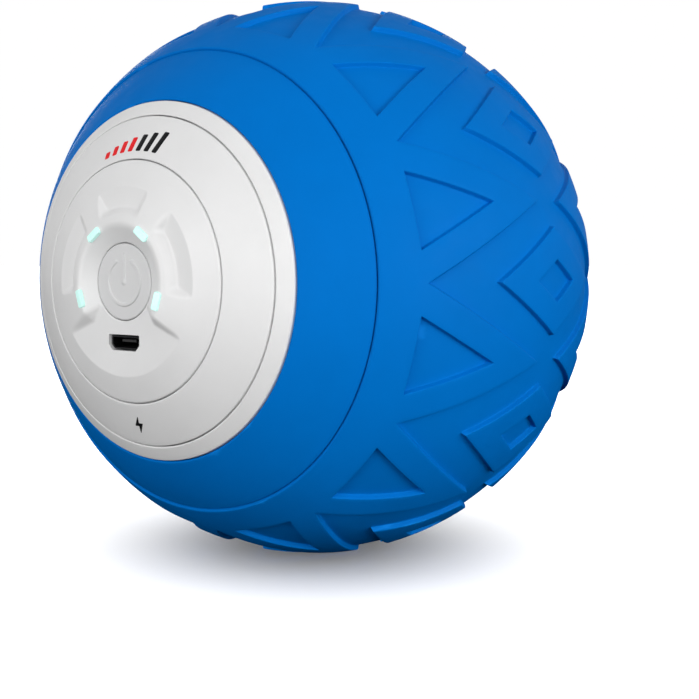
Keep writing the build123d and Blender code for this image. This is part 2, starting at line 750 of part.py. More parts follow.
def make_lamp_lenses():
    """Clear light guides from the board's lamps to the panel's face."""
    length, width = lamp_size
    foot, lip, lip_low, lip_high = 50.7, 0.8, 53.5, 54.7
    with_room = lamp_proud + overlap
    for number, (spot, turn) in enumerate(lamp_spots, start=1):
        with BuildPart() as lens:
            add(block(length, width, foot, with_room, spot, turn))
            fillet(lens.edges().filter_by(Axis.Y), 0.3)
            Sphere(lamp_proud, mode=Mode.INTERSECT)
            fillet(lens.faces().sort_by(Axis.Y)[0].edges(), 0.12)
            add(block(length + lip, width + lip, lip_low, lip_high, spot, turn))
        save(lens.part, f"lamp_lens_{number}")


def make_charging_socket():
    """Socket that stands up from the board, with a contact tongue near its upper wall."""
    mouth = 56.3
    floor_height = board_top + 0.7
    outer_size, inner_size = (7.6, 2.5), (7.0, 1.9)
    tongue_width, tongue_thick, tongue_drop, tongue_short = 3.8, 0.6, 0.3, 0.8
    with BuildPart() as charging_socket_shell:
        with BuildSketch(facing(board_top)):
            with Locations(socket_spot):
                Polygon(*socket_outline(*outer_size), align=None)
        extrude(amount=mouth - board_top)
        with BuildSketch(facing(floor_height)):
            with Locations(socket_spot):
                Polygon(*socket_outline(*inner_size), align=None)
        extrude(amount=mouth - board_top, mode=Mode.SUBTRACT)
    save(charging_socket_shell.part, "charging_socket_shell")

    with BuildPart() as charging_socket_tongue:
        add(block(tongue_width, tongue_thick, floor_height, mouth - tongue_short,
                  (0, tongue_drop - socket_drop)))
        fillet(charging_socket_tongue.faces().sort_by(Axis.Y)[0].edges(), 0.15)
    save(charging_socket_tongue.part, "charging_socket_tongue")


def make_switch():
    """Click switch under the button: a square base and the plunger that the stem presses."""
    base_size, base_top, base_floor = 6.0, 52.0, 50.2
    plunger_radius, plunger_foot, slide = 1.7, 50.9, 0.08
    with BuildPart() as tact_switch_base:
        add(block(base_size, base_size, board_top, base_top))
        chamfer(tact_switch_base.edges().filter_by(Axis.Y), 0.5)
        add(disc(plunger_radius + slide, base_floor, base_top + overlap), mode=Mode.SUBTRACT)
    save(tact_switch_base.part, "tact_switch_base")

    with BuildPart() as switch_plunger:
        add(disc(plunger_radius, plunger_foot, switch_top))
        chamfer(switch_plunger.edges().filter_by(GeomType.CIRCLE).group_by(Axis.Y)[0], 0.2)
    save(switch_plunger.part, "switch_plunger")


def make_control_board():
    """Round board behind the panel, with its screws, lamps, terminals and chips."""
    hole_radius, head_radius, head_height, shank_radius, tip = 0.9, 1.6, 1.1, 0.75, 53.0
    with BuildPart() as control_board:
        add(disc(board_radius, board_bottom, board_top))
        add(discs(hole_radius, board_bottom - overlap, board_top + overlap, panel_posts),
            mode=Mode.SUBTRACT)
    save(control_board.part, "control_board")

    with BuildPart() as board_screws:
        add(discs(head_radius, board_bottom - head_height, board_bottom, panel_posts))
        add(discs(shank_radius, board_bottom, tip, panel_posts))
    save(board_screws.part, "board_screws")

    chip_length, chip_width, chip_height = 1.6, 0.8, 0.7
    with BuildPart() as board_lamps:
        for spot, turn in lamp_spots:
            add(block(chip_length, chip_width, board_top, board_top + chip_height, spot, turn))
    save(board_lamps.part, "board_lamps")

    terminal_size = 3.0
    with BuildPart() as board_terminals:
        for spot in terminal_spots:
            add(block(terminal_size, terminal_size, terminal_foot, board_bottom, spot))
    save(board_terminals.part, "board_terminals")

    # width, height across the board, thickness, place
    chips = {"radio_module": (9.0, 6.0, 2.0, (-7.5, -7.5)),
             "control_chip": (7.0, 7.0, 1.0, (0, 4.5)),
             "motor_driver_chip": (5.0, 4.0, 1.5, (8.0, -7.0)),
             "charging_coil": (5.0, 5.0, 2.4, (8.0, 8.0))}
    for name, (width, tall, thick, spot) in chips.items():
        with BuildPart() as chip:
            add(block(width, tall, board_bottom - thick, board_bottom, spot))
            chamfer(chip.edges().group_by(Axis.Y)[-1], 0.2)
        save(chip.part, name)


make_tread_sleeve()
make_collars()
make_core_shells()
make_chassis()
make_motor_mount()
make_motor()
make_rotor()
make_weights()
make_battery()
make_wiring()
make_bezel_ring()
make_trim_ring()
make_rear_cap()
make_control_panel()
make_power_button()
make_lamp_lenses()
make_charging_socket()
make_switch()
make_control_board()
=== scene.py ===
import json
from math import acos, asin, atan2, cos, degrees, pi, radians, sin, sqrt, tan

import bmesh
import bpy
from mathutils import Matrix, Vector
from mathutils.geometry import delaunay_2d_cdt


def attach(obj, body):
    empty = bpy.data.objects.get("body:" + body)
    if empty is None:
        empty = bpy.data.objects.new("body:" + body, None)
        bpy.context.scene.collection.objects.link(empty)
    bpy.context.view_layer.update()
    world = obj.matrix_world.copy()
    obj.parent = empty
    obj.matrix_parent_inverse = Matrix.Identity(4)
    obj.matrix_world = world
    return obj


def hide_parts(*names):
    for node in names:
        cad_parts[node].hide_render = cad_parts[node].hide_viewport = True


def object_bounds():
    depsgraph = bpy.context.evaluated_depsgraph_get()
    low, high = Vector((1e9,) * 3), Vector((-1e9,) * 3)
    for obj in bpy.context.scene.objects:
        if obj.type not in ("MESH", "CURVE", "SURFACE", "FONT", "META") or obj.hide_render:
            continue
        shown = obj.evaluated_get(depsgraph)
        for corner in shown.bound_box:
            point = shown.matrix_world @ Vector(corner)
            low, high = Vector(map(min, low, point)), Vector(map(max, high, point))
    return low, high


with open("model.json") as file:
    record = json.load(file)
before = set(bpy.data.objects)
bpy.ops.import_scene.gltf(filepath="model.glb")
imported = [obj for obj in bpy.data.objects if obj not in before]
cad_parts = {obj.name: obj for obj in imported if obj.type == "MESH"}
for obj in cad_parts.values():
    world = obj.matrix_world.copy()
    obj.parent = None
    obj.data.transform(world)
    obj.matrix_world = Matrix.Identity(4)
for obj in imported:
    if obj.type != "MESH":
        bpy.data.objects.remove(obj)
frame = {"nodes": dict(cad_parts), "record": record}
cad_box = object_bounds()

# Lengths below are in millimetres and angles in degrees, as in the CAD; MM turns them into metres.
# The ball's centre is the origin, +Z is up and the control cap faces -Y. A "height" is a distance
# from the centre along the ball's axis, towards the cap.
MM = 0.001

# ---- sizes, as in the CAD unless a comment says otherwise ---------------------------------------
TREAD_RADIUS = 59.95            # just under the CAD's 60, to stay inside its box
GROOVE_DEPTH = 1.0
SKIN_RADIUS = 59.5
SLEEVE_INNER = 56.5
TREAD_EDGE = 40.8
HALF_SEAM = 0.07                # degrees; the seam beside the tread is centred on its edge here
LUGS = 12
HALF_PITCH = 180 / LUGS
ZIGZAG_VALLEY, ZIGZAG_TIP = 31.9, 4.04
TRIANGLE_BASE, TRIANGLE_APEX, TRIANGLE_HALF_WIDTH = 32.84, 16.37, 8.35
DIAMOND_HEIGHT, DIAMOND_HALF_WIDTH = 16.7, 10.0
PIP_HEIGHT, PIP_HALF_WIDTH = 6.75, 3.94
CAP_RADIUS = 34.25
CAP_GAP = 0.15
CAP_WALL = 2.2
CAP_SKIRT, CAP_SKIRT_INNER = 48.2, 30.0
CAP_FLANGE = 47.35
CAP_RIB_INNER, CAP_RIB_OUTER = 23.8, 25.4
LEDGE = 52.5
MIDDLE_RING_RADIUS = 31.2
PANEL_RADIUS = 22.7
RING_GAP = 0.2                  # 0.05 wider than in the CAD, so that the seams show
RING_EDGE = 0.22
EDGE_STEPS = 4                  # pieces in a rounded edge
PANEL_FLAT = 56.8
BUTTON_RADIUS = 7.15
BUTTON_HOLE = 7.3
BUTTON_EDGE = 0.25
SIGN_HEIGHT = 0.22
LAMP_RADIUS = 10.85
LAMP_ANGLES = (54, 126, 198, 342)
LAMP_LENGTH, LAMP_WIDTH = 3.4, 1.4
SOCKET_DROP = 11.35
SOCKET_WIDTH, SOCKET_TALL = 8.2, 3.0

BODY = "housing"


# ---- mesh helpers -------------------------------------------------------------------------------
def dome(radius, out):
    """Height of a sphere of this radius where it is this far out from the axis."""
    return sqrt(radius**2 - out**2)


def new_piece(name, verts, faces, body, node=None, smooth_angle=40):
    """Mesh object from millimetre points, riding on a body and standing for a CAD node."""
    mesh = bpy.data.meshes.new(name)
    mesh.from_pydata([Vector(v) * MM for v in verts], [], faces)
    shell = bmesh.new()
    shell.from_mesh(mesh)
    bmesh.ops.remove_doubles(shell, verts=shell.verts, dist=0.001 * MM)
    bmesh.ops.recalc_face_normals(shell, faces=shell.faces)
    shell.to_mesh(mesh)
    shell.free()
    mesh.shade_smooth()
    mesh.set_sharp_from_angle(angle=radians(smooth_angle))
    piece = bpy.data.objects.new(name, mesh)
    bpy.context.scene.collection.objects.link(piece)
    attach(piece, body)
    if node:
        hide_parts(node)
    return piece


def rounded(corners, steps=6):
    """Closed outline with each (x, y, radius) corner turned into an arc."""
    points = []
    count = len(corners)
    for i, (x, y, radius) in enumerate(corners):
        here = Vector((x, y))
        before = (Vector(corners[i - 1][:2]) - here).normalized()
        after = (Vector(corners[(i + 1) % count][:2]) - here).normalized()
        if radius <= 0:
            points.append(here)
            continue
        half = before.angle(after) / 2
        reach = radius / tan(half)
        centre = here + (before + after).normalized() * radius / sin(half)
        first, last = here + before * reach - centre, here + after * reach - centre
        sweep = atan2(first.cross(last), first.dot(last))
        for step in range(steps + 1):
            turn = Matrix.Rotation(sweep * step / steps, 2)
            points.append(centre + turn @ first)
    return points


def lathe(name, profile, body, node, segments=240):
    """Closed solid turned about the ball's axis from a (radius, height) outline.

    The outline closes on itself, or starts and ends on the axis.
    """
    verts, faces = [], []
    rings = len(profile)
    links = rings - 1 if profile[0][0] == profile[-1][0] == 0 else rings
    for s in range(segments):
        turn = 2 * pi * s / segments
        for radius, height in profile:
            verts.append((radius * cos(turn), -height, radius * sin(turn)))
    for s in range(segments):
        after = (s + 1) % segments
        for i in range(links):
            j = (i + 1) % rings
            faces.append((s * rings + i, s * rings + j, after * rings + j, after * rings + i))
    return new_piece(name, verts, faces, body, node)


def dome_arc(radius, first, last, steps):
    """(radius, height) points along a sphere's section between two radii, both ends left out."""
    points = []
    low, high = asin(first / radius), asin(last / radius)
    for step in range(1, steps):
        angle = low + (high - low) * step / steps
        points.append(Vector((radius * sin(angle), radius * cos(angle))))
    return points


# ---- tread sleeve -------------------------------------------------------------------------------
# (distance past a groove's edge, share of the groove's depth): a rounded shoulder, a sloping wall
# and a rounded foot. Distances are positive on the raised side.
GROOVE_PROFILE = [(1.0, 0.0), (0.17, 0.0), (0.08, 0.02), (0.02, 0.08), (-0.04, 0.2), (-0.09, 0.4),
                  (-0.20, 0.80), (-0.26, 0.92), (-0.35, 0.98), (-0.5, 1.0), (-1.4, 1.0)]
SNAP = 0.002                    # degrees; points this near a side of the repeat are put on it


def towards(lon, lat):
    """Unit vector to a point of the tread; latitude is positive away from the cap."""
    turn, rise = radians(lon), radians(lat)
    return Vector((cos(rise) * cos(turn), sin(rise), cos(rise) * sin(turn)))


class Edge:
    """One straight edge of the pattern inside a quarter of its repeat, between two mitre planes.

    It lies on a great circle: u points to its start, w along it and normal to its raised side.
    """

    def __init__(self, first, last, raised_side, mitres=(None, None)):
        start, end = towards(*first), towards(*last)
        self.normal = start.cross(end).normalized()
        if self.normal.dot(towards(*raised_side)) < 0:
            self.normal = -self.normal
        self.u = start
        self.w = (end - start * start.dot(end)).normalized()
        self.span = start.angle(end)
        self.mitres = mitres

    def distance(self, point):
        return TREAD_RADIUS * asin(max(-1.0, min(1.0, self.normal.dot(point))))

    def end(self, mitre, shift, near):
        """Angle along the edge at which its line, shifted sideways, meets a mitre plane."""
        a, b = mitre.dot(self.u), mitre.dot(self.w)
        c = -tan(shift) * mitre.dot(self.normal)
        middle, reach = atan2(b, a), acos(c / sqrt(a * a + b * b))
        meets = (middle + reach, middle - reach)
        return min(meets, key=lambda t: abs(atan2(sin(t - near), cos(t - near))))

    def line(self, distance, pieces):
        """(lon, lat) points of the edge's line shifted sideways by a distance."""
        shift = distance / TREAD_RADIUS
        first = self.end(self.mitres[0], shift, 0)
        last = self.end(self.mitres[1], shift, self.span)
        points = []
        for i in range(pieces + 1):
            t = first + (last - first) * i / pieces
            p = cos(shift) * (cos(t) * self.u + sin(t) * self.w) + sin(shift) * self.normal
            points.append((degrees(atan2(p.z, p.x)), degrees(asin(p.y))))
        return points


def tread_edges():
    """The edges of the zigzag, the diamond, the pip in it and the triangle's two sides."""
    left, equator = Vector((0, 0, 1)), Vector((0, 1, 0))
    right = Vector((-sin(radians(HALF_PITCH)), 0, cos(radians(HALF_PITCH))))
    corner = (HALF_PITCH - TRIANGLE_HALF_WIDTH, TRIANGLE_BASE)
    far_corner = (HALF_PITCH + TRIANGLE_HALF_WIDTH, TRIANGLE_BASE)
    zigzag = Edge((0, ZIGZAG_VALLEY), (HALF_PITCH, ZIGZAG_TIP), (HALF_PITCH, 30), (left, right))
    diamond = Edge((0, DIAMOND_HEIGHT), (DIAMOND_HALF_WIDTH, 0), (0, 0), (left, equator))
    pip = Edge((0, PIP_HEIGHT), (PIP_HALF_WIDTH, 0), (HALF_PITCH, 0), (left, equator))
    side = Edge((HALF_PITCH, TRIANGLE_APEX), corner, (0, TRIANGLE_APEX))
    base = Edge(corner, far_corner, (HALF_PITCH, 40))
    side.mitres = (right, side.normal - base.normal)
    base.mitres = (side.normal - base.normal, right)
    base.span /= 2
    return zigzag, diamond, pip, side, base


def groove_share(distance):
    """Share of the full depth at a distance from a groove's edge."""
    for (d0, f0), (d1, f1) in zip(GROOVE_PROFILE, GROOVE_PROFILE[1:]):
        if distance >= d1:
            return f0 if distance >= d0 else f0 + (f1 - f0) * (d0 - distance) / (d0 - d1)
    return 1.0


def make_tread_sleeve():
    """Meshes a quarter of the pattern's repeat, then mirrors it and turns it round the ball."""
    zigzag, diamond, pip, side, base = edges = tread_edges()
    edge_pieces = (26, 18, 8, 16, 6)
    top = TREAD_EDGE - 1.0
    columns, rows = 12, 30
    clear_sunk, clear_raised = 2.5, 1.8     # how far the plain grid keeps from a groove's edge

    def distances(point):
        return (max(zigzag.distance(point), diamond.distance(point)), pip.distance(point),
                max(side.distance(point), base.distance(point)))

    flat, links = [], []
    for edge, count in zip(edges, edge_pieces):
        for distance, _ in GROOVE_PROFILE:
            run = edge.line(distance, count)
            links += [(len(flat) + i, len(flat) + i + 1) for i in range(count)]
            flat += run
    for i in range(columns + 1):
        lon = HALF_PITCH * i / columns
        for j in range(rows + 1):
            lat = top * j / rows
            kept = j == rows or (j == 0 and i in (0, columns))
            if kept or all(not -clear_sunk < d < clear_raised for d in distances(towards(lon, lat))):
                flat.append((lon, lat))
    snapped = []
    for lon, lat in flat:
        lon = 0.0 if abs(lon) < SNAP else HALF_PITCH if abs(lon - HALF_PITCH) < SNAP else lon
        snapped.append(Vector((lon, 0.0 if abs(lat) < SNAP else lat)))
    points, _, cells = delaunay_2d_cdt(snapped, links, [], 0, 1e-5)[:3]

    skin = []
    for lon, lat in points:
        share = max(groove_share(d) for d in distances(towards(lon, lat)))
        skin.append((lon, lat, TREAD_RADIUS - GROOVE_DEPTH * share))
    cells = [tuple(cell) for cell in cells]

    # The band's side, from its rounded outer corner down to the inside and in to the equator.
    corner, corner_steps, below_corner, inner_steps = 0.35, 6, 58.6, 6
    side_lat = TREAD_EDGE - HALF_SEAM
    to_degrees = 180 / pi / TREAD_RADIUS
    rim = [(top, TREAD_RADIUS)]
    for step in range(corner_steps + 1):
        angle = pi / 2 * step / corner_steps
        rim.append((side_lat + (sin(angle) - 1) * corner * to_degrees,
                    TREAD_RADIUS + (cos(angle) - 1) * corner))
    rim += [(side_lat, below_corner)]
    rim += [(side_lat * k / inner_steps, SLEEVE_INNER) for k in range(inner_steps, -1, -1)]
    first = len(skin)
    for lat, radius in rim:
        skin += [(HALF_PITCH * i / columns, lat, radius) for i in range(columns + 1)]
    width = columns + 1
    for r in range(len(rim) - 1):
        for i in range(columns):
            a = first + r * width + i
            cells.append((a, a + 1, a + width + 1, a + width))

    verts, faces = [], []
    for lug in range(LUGS):
        for flip_lon in (1, -1):
            for flip_lat in (1, -1):
                offset = len(verts)
                for lon, lat, radius in skin:
                    verts.append(towards(flip_lon * lon + lug * 2 * HALF_PITCH, flip_lat * lat) * radius)
                for cell in cells:
                    order = cell if flip_lon * flip_lat > 0 else cell[::-1]
                    faces.append(tuple(offset + i for i in order))
    return new_piece("tread_sleeve_skin", verts, faces, BODY, "tread_sleeve", 60)


# ---- collars and cap rings ----------------------------------------------------------------------
def flipped(outline):
    """The same outline for the rear end."""
    return [Vector((p.x, -p.y)) for p in outline]


def make_collars():
    edge = radians(TREAD_EDGE + HALF_SEAM)
    rim = CAP_RADIUS + CAP_GAP
    rim_edge, rim_arc_start, seam_arc_end = 0.3, 0.4, 0.3
    seam_out = (SKIN_RADIUS * cos(edge), SKIN_RADIUS * sin(edge))
    seam_in = (SLEEVE_INNER * cos(edge), SLEEVE_INNER * sin(edge))
    face = dome_arc(SKIN_RADIUS, rim + rim_arc_start, seam_out[0] - seam_arc_end, 24)
    outline = rounded([(rim, dome(SLEEVE_INNER, rim), 0), (rim, dome(SKIN_RADIUS, rim), rim_edge)]
                      + [(p.x, p.y, 0) for p in face]
                      + [(*seam_out, RING_EDGE), (*seam_in, 0)]
                      + [(p.x, p.y, 0) for p in dome_arc(SLEEVE_INNER, seam_in[0], rim, 10)])
    return [lathe("front_collar_skin", outline, BODY, "front_collar"),
            lathe("rear_collar_skin", flipped(outline), BODY, "rear_collar")]


def make_cap_rings():
    """Outer ring at both ends, the middle ring and the plain rear cap, all with softened edges."""
    gasket, flange_inner, outer_edge = 45.3, 23.5, 0.35
    ledge_inner, ledge_under, clear = 20.9, 50.6, 0.3
    hole, wall, rim = MIDDLE_RING_RADIUS + RING_GAP, PANEL_RADIUS + RING_GAP, MIDDLE_RING_RADIUS
    under = SKIN_RADIUS - CAP_WALL
    outer = rounded([(CAP_RADIUS, gasket, 0), (CAP_RADIUS, dome(SKIN_RADIUS, CAP_RADIUS), outer_edge)]
                    + [(p.x, p.y, 0) for p in dome_arc(SKIN_RADIUS, CAP_RADIUS - 0.5, hole + clear, 6)]
                    + [(hole, dome(SKIN_RADIUS, hole), RING_EDGE), (hole, CAP_FLANGE, 0),
                       (flange_inner, CAP_FLANGE, 0), (flange_inner, gasket, 0)])
    # The underside shared by the middle ring and the rear cap: a round rib and the outer skirt.
    rib = [(CAP_RIB_INNER, CAP_FLANGE, 0), (CAP_RIB_OUTER, CAP_FLANGE, 0),
           (CAP_RIB_OUTER, dome(under, CAP_RIB_OUTER), 0)]
    skirt = [(CAP_SKIRT_INNER, dome(under, CAP_SKIRT_INNER), 0), (CAP_SKIRT_INNER, CAP_SKIRT, 0)]
    middle = rounded([(rim, CAP_SKIRT, 0), (rim, dome(SKIN_RADIUS, rim), RING_EDGE)]
                     + [(p.x, p.y, 0) for p in dome_arc(SKIN_RADIUS, rim - clear, wall + clear, 16)]
                     + [(wall, dome(SKIN_RADIUS, wall), RING_EDGE), (wall, LEDGE, 0),
                        (ledge_inner, LEDGE, 0), (ledge_inner, ledge_under, 0),
                        (CAP_RIB_INNER, ledge_under, 0)]
                     + rib + skirt)
    half_way = 12
    plain = rounded([(0, under, 0), (half_way, dome(under, half_way), 0),
                     (CAP_RIB_INNER, dome(under, CAP_RIB_INNER), 0)]
                    + rib + skirt
                    + [(rim, CAP_SKIRT, 0), (rim, dome(SKIN_RADIUS, rim), RING_EDGE)]
                    + [(p.x, p.y, 0) for p in dome_arc(SKIN_RADIUS, rim - clear, 0, 40)]
                    + [(0, SKIN_RADIUS, 0)])
    return [lathe("front_outer_ring", outer, BODY, "front_bezel_ring"),
            lathe("rear_outer_ring", flipped(outer), BODY, "rear_bezel_ring"),
            lathe("front_middle_ring", middle, BODY, "front_trim_ring"),
            lathe("rear_cap_dome", flipped(plain), BODY, "rear_cap")]


# ---- control panel ------------------------------------------------------------------------------
def soft_min(a, b, soften):
    """The lower of two heights, blended over a short distance where they cross."""
    h = max(soften - abs(a - b), 0) / soften
    return min(a, b) - h * h * soften / 4


def soft_max(a, b, soften):
    """The higher of two heights, blended in the same way."""
    return -soft_min(-a, -b, soften)


def angle_off(angle, middle):
    """How far an angle is from a middle angle, from 0 to 180 degrees."""
    return abs((angle - middle + 180) % 360 - 180)


# Middle angle, half width and inner radius of each hollow's upper edge: three lobes and the pocket
# round the charging socket.
HOLLOWS = ((19, 27.5, 12.7), (91, 22.0, 12.7), (161, 27.5, 12.7), (270, 55.5, 0))


def panel_height(radius, angle):
    """Height of the panel's face: a dome with a bowl round the button and flat-floored hollows.

    The bowl is shallower here than in the CAD, and its rim and the hollows' walls are softer.
    """
    skin = dome(SKIN_RADIUS, radius)
    bowl_start, bowl_rise, bowl_blend = BUTTON_HOLE + 0.15, 0.52, 0.6
    wall_rise, corner, upper_blend, foot_blend = 1.0, 1.1, 0.55, 0.4
    height = soft_min(skin, PANEL_FLAT + max(radius - bowl_start, 0) * bowl_rise, bowl_blend)
    for middle, half, inner in HOLLOWS:
        inside = radius * sin(radians(max(min(half - angle_off(angle, middle), 90), -90)))
        if inner:
            inside = soft_min(inside, radius - inner, corner)
        wall = height - wall_rise * soft_max(inside, 0, upper_blend)
        height = min(height, soft_max(wall, min(PANEL_FLAT, height), foot_blend))
    for past in (radius - (PANEL_RADIUS - RING_EDGE), BUTTON_HOLE + RING_EDGE - radius):
        if past > 0:
            height -= RING_EDGE - sqrt(max(RING_EDGE**2 - past**2, 0))
    return height


def polar_solid(name, radii, height, closing, body, node, segments):
    """Closed solid with a shaped face: height(radius, angle) over rings, then plain closing rings."""
    verts, faces = [], []
    rings = len(radii) + len(closing)
    links = rings - 1 if radii[0] == 0 else rings
    for s in range(segments):
        angle = 360 * s / segments
        turn = radians(angle)
        outline = [(r, height(r, angle)) for r in radii] + closing
        verts += [(r * cos(turn), -h, r * sin(turn)) for r, h in outline]
    for s in range(segments):
        after = (s + 1) % segments
        for i in range(links):
            j = (i + 1) % rings
            faces.append((s * rings + i, s * rings + j, after * rings + j, after * rings + i))
    return new_piece(name, verts, faces, body, node, 50)


def edge_radii(radius, rounding):
    """Radii at which a rounded outer edge is sampled, closer together where it is steep."""
    return [radius - rounding * (1 - sin(pi / 2 * k / EDGE_STEPS)) for k in range(1, EDGE_STEPS + 1)]


def prism(outline, low, high):
    """Temporary cutting tool along the ball's axis from an (x, z) outline."""
    verts = [(x, -h, z) for h in (low, high) for x, z in outline]
    n = len(outline)
    faces = [tuple(range(n)), tuple(range(2 * n - 1, n - 1, -1))]
    faces += [(i, (i + 1) % n, n + (i + 1) % n, n + i) for i in range(n)]
    mesh = bpy.data.meshes.new("tool")
    mesh.from_pydata([Vector(v) * MM for v in verts], [], faces)
    shell = bmesh.new()
    shell.from_mesh(mesh)
    bmesh.ops.recalc_face_normals(shell, faces=shell.faces)
    shell.to_mesh(mesh)
    shell.free()
    tool = bpy.data.objects.new("tool", mesh)
    bpy.context.scene.collection.objects.link(tool)
    return tool


def carve(piece, tools):
    """Cuts the tools out of a piece's mesh and deletes them."""
    for tool in tools:
        step = piece.modifiers.new("carve", "BOOLEAN")
        step.object, step.operation, step.solver = tool, "DIFFERENCE", "EXACT"
    bpy.context.view_layer.update()
    graph = bpy.context.evaluated_depsgraph_get()
    carved = bpy.data.meshes.new_from_object(piece.evaluated_get(graph))
    piece.modifiers.clear()
    piece.data = carved
    for tool in tools:
        bpy.data.objects.remove(tool)
    carved.set_sharp_from_angle(angle=radians(50))


def turned_box(width, tall, radius, angle, soften):
    """(x, z) outline of a round-cornered box, its long side across the radius."""
    w, t = width / 2, tall / 2
    box = rounded([(-w, -t, soften), (w, -t, soften), (w, t, soften), (-w, t, soften)], 3)
    spin = Matrix.Rotation(radians(angle + 90), 2)
    middle = Vector((radius * cos(radians(angle)), radius * sin(radians(angle))))
    return [tuple(spin @ p + middle) for p in box]


def socket_outline(width, tall, soften):
    """(x, z) outline of the charging opening: a box with its two lower corners cut off."""
    x, z, cut = width / 2, tall / 2, 0.35 * tall
    corners = [(-x, z), (x, z), (x, cut - z), (x - cut, -z), (cut - x, -z), (-x, cut - z)]
    return [(p.x, p.y - SOCKET_DROP) for p in rounded([(*c, soften) for c in corners], 3)]


def make_control_panel():
    under, rim_inner, clear = 54.8, 20.2, 0.1
    margin, steps = 0.25, 84
    lamp_corner, socket_corner = 0.35, 0.25
    inner, outer = BUTTON_HOLE + margin, PANEL_RADIUS - margin
    radii = [BUTTON_HOLE + RING_EDGE * (1 - cos(pi / 2 * k / EDGE_STEPS)) for k in range(EDGE_STEPS)]
    radii += [inner + (outer - inner) * k / steps for k in range(steps + 1)]
    radii += edge_radii(PANEL_RADIUS, RING_EDGE)
    closing = [(PANEL_RADIUS, LEDGE), (rim_inner, LEDGE), (rim_inner, under), (BUTTON_HOLE, under)]
    panel = polar_solid("control_panel_face", radii, panel_height, closing, BODY, "control_panel", 540)
    outlines = [turned_box(LAMP_LENGTH + clear, LAMP_WIDTH + clear, LAMP_RADIUS, angle, lamp_corner)
                for angle in LAMP_ANGLES]
    outlines.append(socket_outline(SOCKET_WIDTH, SOCKET_TALL, socket_corner))
    carve(panel, [prism(outline, under - 1, SKIN_RADIUS + 1.5) for outline in outlines])
    return panel


def sign_share(radius, angle):
    """Height share, 0 to 1, of the raised on-off sign on the button's face."""
    ring, line, gap, slope = 4.25, 0.34, 28, 0.16
    bar_low, bar_high = -0.1, 5.1
    x, z = radius * cos(radians(angle)), radius * sin(radians(angle))
    if angle_off(angle, 90) >= gap:
        to_ring = abs(radius - ring)
    else:
        turns = (radians(90 + gap), radians(90 - gap))
        ends = [Vector((ring * cos(turn), ring * sin(turn))) for turn in turns]
        to_ring = min((Vector((x, z)) - end).length for end in ends)
    to_bar = sqrt(x**2 + max(bar_low - z, 0, z - bar_high)**2)
    share = (line + slope / 2 - min(to_ring, to_bar)) / slope
    share = min(max(share, 0), 1)
    return share * share * (3 - 2 * share)


def button_height(radius, angle):
    """Height of the button's face: flat, with a rounded edge and the raised sign."""
    past = radius - (BUTTON_RADIUS - BUTTON_EDGE)
    drop = BUTTON_EDGE - sqrt(max(BUTTON_EDGE**2 - past**2, 0)) if past > 0 else 0
    return PANEL_FLAT - drop + SIGN_HEIGHT * sign_share(radius, angle)


def make_power_button():
    collar, collar_top, collar_under = 8.6, 54.6, 53.4
    stem, stem_end = 2.0, 52.95
    coarse, fine, fine_start, fine_rings = 0.3, 0.08, 0.9, 76
    radii = [coarse * k for k in range(3)] + [fine_start + fine * k for k in range(fine_rings)]
    radii += edge_radii(BUTTON_RADIUS, BUTTON_EDGE)
    closing = [(BUTTON_RADIUS, collar_top), (collar, collar_top), (collar, collar_under),
               (stem, collar_under), (stem, stem_end), (0, stem_end)]
    return polar_solid("power_button_face", radii, button_height, closing, "button", "power_button", 360)


# ---- printed marks ------------------------------------------------------------------------------
def printed_mark(name, outline):
    """Thin layer of ink that follows the cap's dome, from an (x, z) outline."""
    step, proud, sunk = 0.45, 0.03, 0.04
    xs, zs = [p[0] for p in outline], [p[1] for p in outline]
    flat = [Vector(p) for p in outline]
    for i in range(1, int((max(xs) - min(xs)) / step) + 1):
        for j in range(1, int((max(zs) - min(zs)) / step) + 1):
            flat.append(Vector((min(xs) + i * step, min(zs) + j * step)))
    border = list(range(len(outline)))
    points, _, cells = delaunay_2d_cdt(flat, [], [border], 1, 1e-6)[:3]
    used = sorted({i for cell in cells for i in cell})
    index = {old: new for new, old in enumerate(used)}
    cells = [tuple(index[i] for i in cell) for cell in cells]
    points = [points[i] for i in used]
    verts = [(p.x, -dome(SKIN_RADIUS + lift, p.length), p.y) for lift in (proud, -sunk) for p in points]
    count = len(points)
    faces = cells + [tuple(count + i for i in cell[::-1]) for cell in cells]
    edges = {(a, b) for cell in cells for a, b in zip(cell, cell[1:] + cell[:1])}
    faces += [(b, a, count + a, count + b) for a, b in edges if (b, a) not in edges]
    return new_piece(name, verts, faces, BODY, None, 60)


def make_level_marks():
    """Row of slanted bars of growing length, the sign for more power, along the middle ring."""
    bars, first_angle, last_angle = 7, 107.5, 77.5
    foot, shortest, longest, half_width, slant, corner = 24.4, 1.3, 4.1, 0.62, 0.9, 0.25
    marks = []
    for bar in range(bars):
        share = bar / (bars - 1)
        angle = radians(first_angle + (last_angle - first_angle) * share)
        out, across = Vector((cos(angle), sin(angle))), Vector((sin(angle), -cos(angle)))
        length = shortest + (longest - shortest) * share
        lean = slant * length / longest
        corners = []
        for side, up, shift in ((-1, 0, 0), (1, 0, 0), (1, 1, lean), (-1, 1, lean)):
            p = out * (foot + up * length) + across * (side * half_width + shift)
            corners.append((p.x, p.y, corner))
        marks.append(printed_mark(f"level_mark_{bar + 1}", [tuple(p) for p in rounded(corners, 3)]))
    return marks


def make_charge_mark():
    """Small lightning bolt, the common sign for charging, below the panel."""
    drop, corner = 27.1, 0.08
    bolt = [(0.5, 1.9), (-1.15, -0.25), (-0.1, -0.25), (-0.5, -1.9), (1.15, 0.35), (0.1, 0.35)]
    outline = rounded([(x, z - drop, corner) for x, z in bolt], 2)
    return printed_mark("charge_mark", [tuple(p) for p in outline])


# ---- materials ----------------------------------------------------------------------------------
NOISE_SPAN = (0.3, 0.7)         # most of a noise texture's values lie between these


